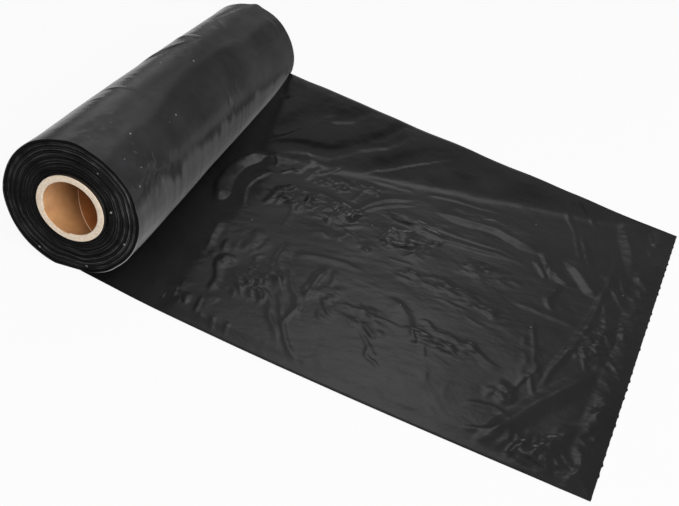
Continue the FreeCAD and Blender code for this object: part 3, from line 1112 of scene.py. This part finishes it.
# %% Crushed patches
CRUSHED = [
    # middle (along, across), half size (along, across), how many, length, heading, turn, steepness
    ((80, 11), (24, 8), 62, 9, 75, 45, 0.36),
    ((79.5, 37.5), (8, 5), 18, 5, 60, 80, 0.26),
    ((128.5, 8), (8, 8), 26, 6, 60, 60, 0.26),
    ((125.5, 27), (8, 3), 10, 6, 5, 20, 0.26),
    ((95.5, 44), (6, 4), 10, 5, 70, 60, 0.20),
    ((103, -6.5), (18, 4), 20, 6, 0, 60, 0.14),
    ((140.5, 8), (7, 10), 14, 7, 55, 30, 0.18),
    ((177, 7), (14, 6), 22, 6, 20, 40, 0.14),
    ((165.5, -17), (24, 6), 26, 7, 175, 25, 0.14),
    ((234, -12), (7, 16), 40, 8, 90, 70, 0.24),
    ((247, -19.5), (5, 60), 46, 7, 85, 60, 0.17),
    ((247, 54), (5, 50), 38, 7, 85, 60, 0.15),
    ((240, -88), (8, 14), 28, 10, 80, 60, 0.20),
    ((228, -94.5), (12, 8), 16, 10, 80, 30, 0.18),
    ((86, -63.5), (9, 11), 26, 6, 125, 40, 0.20),
    ((68, -56.5), (4, 4), 8, 5, 80, 60, 0.15),
    ((66, -87.5), (16, 10), 16, 6, 115, 25, 0.12),
    ((58, -43.5), (14, 14), 14, 7, 110, 30, 0.09),
    ((175.5, -52.5), (14, 6), 26, 7, 170, 35, 0.16),
    ((136.5, -59.5), (14, 8), 14, 7, 145, 30, 0.14),
    ((118, -51.5), (6, 6), 8, 6, 130, 40, 0.14),
    ((207.5, -67.5), (5, 5), 12, 5, 60, 60, 0.20),
    ((211.5, -44.5), (6, 14), 8, 9, 105, 15, 0.10),
    ((54, 43), (10, 8), 10, 6, 60, 50, 0.12),
    ((224, 50), (8, 22), 10, 14, 112, 8, 0.08),
    ((58, 90), (30, 12), 12, 12, 55, 15, 0.05),
    ((147.5, 84.5), (40, 20), 10, 16, 40, 60, 0.03),
    ((149.5, -87.5), (40, 12), 14, 9, 120, 25, 0.06),
]
crushed = np.zeros(len(grid))
for middle, half, _, _, _, _, steepness in CRUSHED:
    run_away = (run_mm - middle[0]) / (1.15 * half[0])
    side_away = (across_mm - middle[1]) / (1.15 * half[1])
    patch = np.exp(-((run_away**2 + side_away**2) ** 2))
    crushed = np.maximum(crushed, smooth_step(0.06, 0.26, steepness) * patch)
crushed = crushed * (0.75 + 0.25 * layered_noise(run_mm / 9, across_mm / 9, 53, 2)) + 0.06

# %% Small folds thrown over the patches
dice = np.random.default_rng(7)
for middle, half, how_many, length, heading, turn, steepness in CRUSHED:
    for _ in range(how_many):
        centre = np.array(middle) + dice.uniform(-1, 1, 2) * np.array(half)
        angle = math.radians(heading + turn * dice.uniform(-1, 1))
        reach = length * dice.uniform(0.9, 2.2) / 2
        step = reach * np.array([math.cos(angle), math.sin(angle)])
        bend = reach * dice.uniform(-0.35, 0.35) * np.array([-math.sin(angle), math.cos(angle)])
        route = [centre - step, centre + bend, centre + step]
        if dice.random() < 0.4:
            route.reverse()
        slope = 0.58 * steepness * dice.uniform(0.6, 1.3)
        face = dice.uniform(1.1, 2.2)
        lay_fold(height_map, warp_run, warp_across, face, slope, dice.uniform(1, 2), route, 0.4)
print("small folds thrown:", sum(row[2] for row in CRUSHED))

# %% [markdown]
# Under all the folds the film has a slow swell, and over them a faint ripple. Near the end the two
# walls are welded together: the weld is a narrow sunken band with small puckers.

# %% Swell and weld
WELD_FROM_END, WELD_DEPTH = 13.0, 0.035
flow = 0.5 * run_mm + 0.25 * across_mm
ripple = layered_noise(flow / 5, (across_mm - 0.3 * run_mm) / 3.4, 71, 3)
swell = layered_noise(run_mm / 42, across_mm / 34, 73, 2)
height_map += 0.05 * ripple + 0.5 * swell + 0.4
weld_gap = run_mm - (length_mm - WELD_FROM_END)
pucker_place = across_mm / 3.1 + 2.6 * layered_noise(across_mm / 12, weld_gap / 30, 107, 2)
pucker = soft_noise(pucker_place, weld_gap / 9, 79) * np.exp(-((weld_gap / 5.0) ** 2))
pucker = pucker * (0.5 + 0.8 * layered_noise(across_mm / 14, across_mm * 0, 109, 2))
height_map = height_map * (1 - 0.45 * np.exp(-((weld_gap / 4.0) ** 2))) + 0.05 * pucker
height_map -= WELD_DEPTH * np.exp(-((weld_gap / 1.4) ** 4))
border = np.minimum(width_mm - np.abs(across_mm), length_mm - run_mm)
height_map *= 0.35 + 0.65 * smooth_step(0, 7, border)
height_map = 0.5 * (height_map + np.sqrt(height_map**2 + 0.16))
print("folds stand up to", round(height_map.max(), 2), "mm")

# %% [markdown]
# The far side of the film is still on the roll. It comes down in a taut triangle, from a straight
# line between the roll's side and the free corner, and stays under the skin of the roll.

# %% The climb on to the roll
LIFT_START, LIFT_HEIGHT, LIFT_SOFTNESS, ROLL_SIDE = 36.0, 22.0, 4.0, 20.0
CLING, SKIN_CLEARANCE, NO_SKIN = 1.2, 0.25, 40.0
world_x = run * cosine + across * sine
world_y = -run * sine + across * cosine
way_out = (run_mm - ROLL_SIDE) / (length_mm - ROLL_SIDE)
ground_line = LIFT_START + (width_mm - LIFT_START) * way_out
climb = across_mm - ground_line - 1.5 * layered_noise(run_mm / 25, across_mm / 25, 89, 2)
steepness = LIFT_HEIGHT / (width_mm - LIFT_START)
ramp_height = steepness * 0.5 * (climb + np.sqrt(climb**2 + LIFT_SOFTNESS**2))
radius, centre = roll_outline(np.clip(world_y / half_width, -1, 1))
reach = np.clip(world_x / radius, 0, 0.999)
roll_skin = (centre - radius * np.sqrt(1 - reach**2)) / MM + SKIN_CLEARANCE
roll_skin = np.where(world_x < 0.97 * radius, roll_skin, NO_SKIN)
lowest = 0.5 * (ramp_height + roll_skin - np.sqrt((ramp_height - roll_skin) ** 2 + CLING**2))
settled = np.maximum(lowest, 0.0) + height_map * smooth_step(0, 14, world_x / MM - 6)
print("far side climbs to", round(lowest.max(), 1), "mm")

# %% [markdown]
# The very rim of the film bends down to the table, which draws a thin dark line round it. Beyond
# the weld the film was torn along its perforation and keeps a row of little nubs.

# %% Rim and torn end
RIM_DROP, TABLE_GAP, NUB_PITCH = 0.22, 0.08, 6.0
side_gap = (1 - np.abs(width_share)) * width_mm
end_gap = (1 - length_share) * length_mm
rim_share = smooth_step(1.0, 0.0, np.minimum(side_gap, end_gap))
settled = np.maximum(settled - RIM_DROP * rim_share, 0.0)
nub_phase = np.abs((across_mm + 99) % NUB_PITCH - NUB_PITCH / 2)
nub = smooth_step(1.4, 0.5, nub_phase) * (0.5 + 0.5 * soft_noise(across_mm / 5, across_mm * 0, 83))
run_out = smooth_step(0.997, 1.0, length_share) * (0.45 * nub - 0.1) * MM
film_points = np.stack(
    [world_x + run_out * cosine, world_y - run_out * sine, (settled + TABLE_GAP) * MM], axis=1
)
drawn_out_bag.data.vertices.foreach_set("co", film_points.ravel())
heights_mm = film_points[:, 2] / MM
print(f"film height from {heights_mm.min():.2f} to {heights_mm.max():.2f} mm")

# %% Finish the drawn-out bag
sheet_uv = drawn_out_bag.data.uv_layers.new(name="film_run")
film_places = np.stack([run, across], axis=1)[read_corners(drawn_out_bag)]
sheet_uv.data.foreach_set("uv", film_places.ravel())
carry(drawn_out_bag, "crushed", np.clip(crushed, 0, 1))
bpy.ops.object.shade_smooth()
# Each: mm along the film, mm across it from its middle, half size mm.
SHEET_FLECKS = [
    (60, -20, 0.3), (112, 12, 0.3), (150, -40, 0.25), (184, 66, 0.3), (206, -20, 0.3), (238, 30, 0.3),
]
drawn_out_bag.data.materials.append(
    film_material(
        "drawn_out_film",
        crinkle=0.00006,
        grain=(160, 260, 1),
        sheen=0.05,
        gloss=0.5,
        satin=(0.14, 0.22),
        tones=[(0.006, 0.006, 0.0065), (0.011, 0.0105, 0.011)],
        flecks=SHEET_FLECKS,
        facets="crushed",
    )
)
print("drawn-out bag:", len(drawn_out_bag.data.polygons), "faces")

# %% [markdown]
# ## The paperboard core
# A core is wound from strips of brown board glued in a spiral. The cut rim is paler than the kraft
# face inside and shows the plies as fine rings, the outer wall is painted near black as a painted
# shadow in the gap round the core, and a thin seam spirals down the bore. Painted light and shade
# runs along each strip, from one seam to the next, brightest a little past its middle.

# %% Paperboard colours
KRAFT = [(0.3, (0.40, 0.20, 0.085)), (0.7, (0.52, 0.28, 0.125))]
RIM_BOARD = [(0.3, (0.70, 0.56, 0.42)), (0.7, (0.88, 0.76, 0.62))]
# The seam's pale edge, and the near black of a painted shadow on the outer wall in the gap round the
# core.
SEAM_EDGE, PAINTED_SHADOW_BLACK = (0.86, 0.62, 0.42), (0.03, 0.022, 0.016)
SEAM_PITCH, SEAM_START, SEAM_WIDTH = 82.0 * MM, 110.6 * MM, 0.6 * MM
RIM_BAND, OUTER_BAND, PLY = 0.7 * MM, 0.12 * MM, 0.5 * MM
# Painted light and shade along one strip, from its seam to the next: how much brighter or darker the
# kraft is made.
STRIP_PAINTED_LIGHT_AND_SHADE = [
    (0.0, (0.98, 0.74, 0.53)),
    (0.25, (1.0, 0.80, 0.60)),
    (0.60, (1.60, 1.72, 1.90)),
    (0.75, (1.22, 1.24, 1.26)),
    (0.90, (0.88, 0.85, 0.79)),
    (1.0, (0.66, 0.60, 0.54)),
]


# %% Paperboard finish
def strip_place(tree, x, y, level):
    """Where a place on the bore lies between two turns of the seam, 0 to 1."""
    round_bore = math_node(tree, "DIVIDE", math_node(tree, "ARCTAN2", level, x), 2 * math.pi)
    along_bore = math_node(tree, "ADD", y, SEAM_START)
    along_bore = math_node(tree, "DIVIDE", along_bore, SEAM_PITCH)
    return math_node(tree, "FRACT", math_node(tree, "ADD", along_bore, round_bore))


def paperboard_material():
    """Kraft board with a spiral seam, a pale cut rim, painted light and shade along the bore's strips and
    a painted shadow on the outer wall.
    """
    material, tree, shader = new_material("paperboard")
    place = add(tree, "ShaderNodeTexCoord").outputs["Object"]
    parts = add(tree, "ShaderNodeSeparateXYZ")
    tree.links.new(place, parts.inputs[0])
    x, y, z = parts.outputs
    level = math_node(tree, "SUBTRACT", z, axis_height)
    squares = [math_node(tree, "MULTIPLY", side, side) for side in (x, level)]
    from_axis = math_node(tree, "SQRT", math_node(tree, "ADD", *squares))
    fibre = noise(tree, place, 900.0, 4.0, 0.6)
    strip = strip_place(tree, x, y, level)
    colour = ramp(tree, noise(tree, place, 120.0, 3.0, 0.6), KRAFT)
    # Painted light and shade along the strips of the bore.
    colour = mixed(tree, 1.0, colour, ramp(tree, strip, STRIP_PAINTED_LIGHT_AND_SHADE), "MULTIPLY")
    seam = math_node(tree, "GREATER_THAN", strip, 1.0 - SEAM_WIDTH / SEAM_PITCH)
    colour = mixed(tree, seam, colour, SEAM_EDGE)
    on_rim = math_node(tree, "GREATER_THAN", math_node(tree, "ABSOLUTE", y), core_end - RIM_BAND)
    colour = mixed(tree, on_rim, colour, ramp(tree, fibre, RIM_BOARD))
    # Painted shadow: the outer wall is painted near black.
    outside = math_node(tree, "GREATER_THAN", from_axis, core_radius - OUTER_BAND)
    colour = mixed(tree, outside, colour, PAINTED_SHADOW_BLACK)
    ply = math_node(tree, "SINE", math_node(tree, "MULTIPLY", from_axis, 2 * math.pi / PLY))
    relief = bumped(tree, fibre, 0.00008, bumped(tree, ply, 0.00004))
    tree.links.new(colour, shader.inputs["Base Color"])
    tree.links.new(relief, shader.inputs["Normal"])
    shader.inputs["Roughness"].default_value = 0.85
    shader.inputs["Specular IOR Level"].default_value = 0.15
    return material


core_material = paperboard_material()
for slot in nodes["core_tube"].material_slots:
    slot.material = core_material
print("core finished")

# %% [markdown]
# ## Handing over
# Both film pieces hang on the root body, and the frame's one film node, whose place they take, is hidden.

# %% Ride and hide the film node
for piece in (wound_bags, drawn_out_bag):
    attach(piece, "root")
    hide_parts("bag_film")
print("pieces handed over:", wound_bags.name, "and", drawn_out_bag.name)
